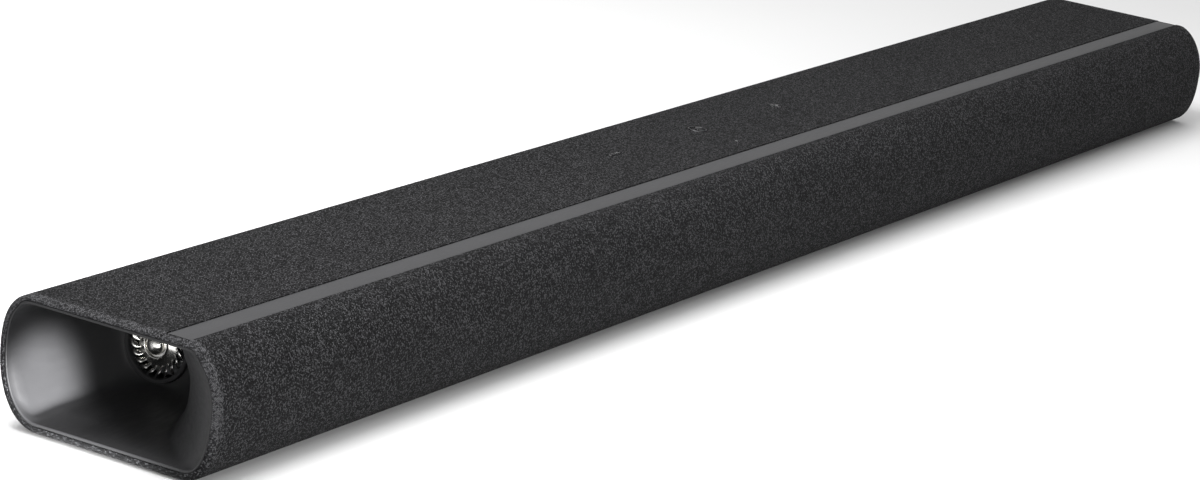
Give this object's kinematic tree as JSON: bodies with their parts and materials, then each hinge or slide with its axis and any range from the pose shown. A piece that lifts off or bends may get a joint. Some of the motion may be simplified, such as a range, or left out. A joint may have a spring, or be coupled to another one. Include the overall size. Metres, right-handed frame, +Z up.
{
  "type": "soundbar",
  "caption": "Long low cloth-wrapped soundbar with an open horn at each end, a trim strip along the top front edge, raised keys on top and a rear cable recess.",
  "frame": {"origin": "on the standing surface, under the middle of the bar", "axes": "+X along the bar, to the right as seen from the front; -Y is the front; +Z is up"},
  "size_m": [1.12, 0.125, 0.0654],
  "materials": {
    "cloth": "matt melange weave",
    "trim": "satin grey",
    "housing_plastic": "fine-grained black",
    "rubber": "matt",
    "screw_steel": "blackened",
    "horn_plastic": "satin black",
    "silver": "bright satin",
    "driver_steel": "black stove enamel",
    "dome_silk": "coated silk",
    "cone": "pressed pulp with a rubber surround",
    "key_plastic": "satin",
    "circuit_board": "lacquered board with parts",
    "heat_sink": "milled",
    "insert_brass": "turned",
    "socket_plastic": "smooth black"
  },
  "bodies": {
    "bar": {"cloth_sleeve": "cloth", "trim_strip": "trim", "front_grille": "housing_plastic", "rear_housing": "housing_plastic", "front_baffle": "housing_plastic", "base_panel": "housing_plastic", "foot_front_left": "rubber", "foot_front_right": "rubber", "foot_rear_left": "rubber", "foot_rear_right": "rubber", "base_screw_front_left": "screw_steel", "base_screw_front_right": "screw_steel", "base_screw_rear_left": "screw_steel", "base_screw_rear_right": "screw_steel", "horn_left": "horn_plastic", "horn_right": "horn_plastic", "phase_plug_left": "silver", "phase_plug_right": "silver", "tweeter_motor_left": "driver_steel", "tweeter_motor_right": "driver_steel", "tweeter_motor_centre": "driver_steel", "woofer_frame_1": "driver_steel", "woofer_frame_2": "driver_steel", "woofer_frame_3": "driver_steel", "woofer_frame_4": "driver_steel", "woofer_frame_5": "driver_steel", "woofer_frame_6": "driver_steel", "woofer_frame_7": "driver_steel", "woofer_frame_8": "driver_steel", "woofer_frame_9": "driver_steel", "woofer_frame_10": "driver_steel", "key_board": "circuit_board", "main_board": "circuit_board", "amplifier_heat_sink": "heat_sink", "power_supply_board": "circuit_board", "display_module": "housing_plastic", "io_panel": "housing_plastic", "mains_inlet": "socket_plastic", "optical_socket": "socket_plastic", "network_socket": "socket_plastic", "video_socket_in": "socket_plastic", "video_socket_out": "socket_plastic", "bracket_insert_left": "insert_brass", "bracket_insert_right": "insert_brass"},
    "woofer_cone_1": {"woofer_cone_1": "cone"},
    "woofer_cone_2": {"woofer_cone_2": "cone"},
    "woofer_cone_3": {"woofer_cone_3": "cone"},
    "woofer_cone_4": {"woofer_cone_4": "cone"},
    "woofer_cone_5": {"woofer_cone_5": "cone"},
    "woofer_cone_6": {"woofer_cone_6": "cone"},
    "woofer_cone_7": {"woofer_cone_7": "cone"},
    "woofer_cone_8": {"woofer_cone_8": "cone"},
    "woofer_cone_9": {"woofer_cone_9": "cone"},
    "woofer_cone_10": {"woofer_cone_10": "cone"},
    "tweeter_dome_left": {"tweeter_dome_left": "dome_silk"},
    "tweeter_dome_centre": {"tweeter_dome_centre": "dome_silk"},
    "tweeter_dome_right": {"tweeter_dome_right": "dome_silk"},
    "key_minus": {"key_minus": "key_plastic"},
    "key_source": {"key_source": "key_plastic"},
    "key_plus": {"key_plus": "key_plastic"}
  },
  "joints": [
    {"name": "woofer_travel_1", "type": "slide", "parent": "bar", "child": "woofer_cone_1", "axis": [0, -1, 0], "range_m": [-0.003, 0.003], "stiffness_N_per_m": 900},
    {"name": "woofer_travel_2", "type": "slide", "parent": "bar", "child": "woofer_cone_2", "axis": [0, -1, 0], "range_m": [-0.003, 0.003], "stiffness_N_per_m": 900},
    {"name": "woofer_travel_3", "type": "slide", "parent": "bar", "child": "woofer_cone_3", "axis": [0, -1, 0], "range_m": [-0.003, 0.003], "stiffness_N_per_m": 900},
    {"name": "woofer_travel_4", "type": "slide", "parent": "bar", "child": "woofer_cone_4", "axis": [0, -1, 0], "range_m": [-0.003, 0.003], "stiffness_N_per_m": 900},
    {"name": "woofer_travel_5", "type": "slide", "parent": "bar", "child": "woofer_cone_5", "axis": [0, -1, 0], "range_m": [-0.003, 0.003], "stiffness_N_per_m": 900},
    {"name": "woofer_travel_6", "type": "slide", "parent": "bar", "child": "woofer_cone_6", "axis": [0, -1, 0], "range_m": [-0.003, 0.003], "stiffness_N_per_m": 900},
    {"name": "woofer_travel_7", "type": "slide", "parent": "bar", "child": "woofer_cone_7", "axis": [0, -1, 0], "range_m": [-0.003, 0.003], "stiffness_N_per_m": 900},
    {"name": "woofer_travel_8", "type": "slide", "parent": "bar", "child": "woofer_cone_8", "axis": [0, -1, 0], "range_m": [-0.003, 0.003], "stiffness_N_per_m": 900},
    {"name": "woofer_travel_9", "type": "slide", "parent": "bar", "child": "woofer_cone_9", "axis": [0, -1, 0], "range_m": [-0.003, 0.003], "stiffness_N_per_m": 900},
    {"name": "woofer_travel_10", "type": "slide", "parent": "bar", "child": "woofer_cone_10", "axis": [0, -1, 0], "range_m": [-0.003, 0.003], "stiffness_N_per_m": 900},
    {"name": "tweeter_travel_left", "type": "slide", "parent": "bar", "child": "tweeter_dome_left", "axis": [-1, 0, 0], "range_m": [-0.0003, 0.0003], "stiffness_N_per_m": 900},
    {"name": "tweeter_travel_centre", "type": "slide", "parent": "bar", "child": "tweeter_dome_centre", "axis": [0, -1, 0], "range_m": [-0.0003, 0.0003], "stiffness_N_per_m": 900},
    {"name": "tweeter_travel_right", "type": "slide", "parent": "bar", "child": "tweeter_dome_right", "axis": [1, 0, 0], "range_m": [-0.0003, 0.0003], "stiffness_N_per_m": 900},
    {"name": "key_press_minus", "type": "slide", "parent": "bar", "child": "key_minus", "axis": [0, 0, -1], "range_m": [0, 0.0005], "stiffness_N_per_m": 1200},
    {"name": "key_press_source", "type": "slide", "parent": "bar", "child": "key_source", "axis": [0, 0, -1], "range_m": [0, 0.0005], "stiffness_N_per_m": 1200},
    {"name": "key_press_plus", "type": "slide", "parent": "bar", "child": "key_plus", "axis": [0, 0, -1], "range_m": [0, 0.0005], "stiffness_N_per_m": 1200}
  ]
}
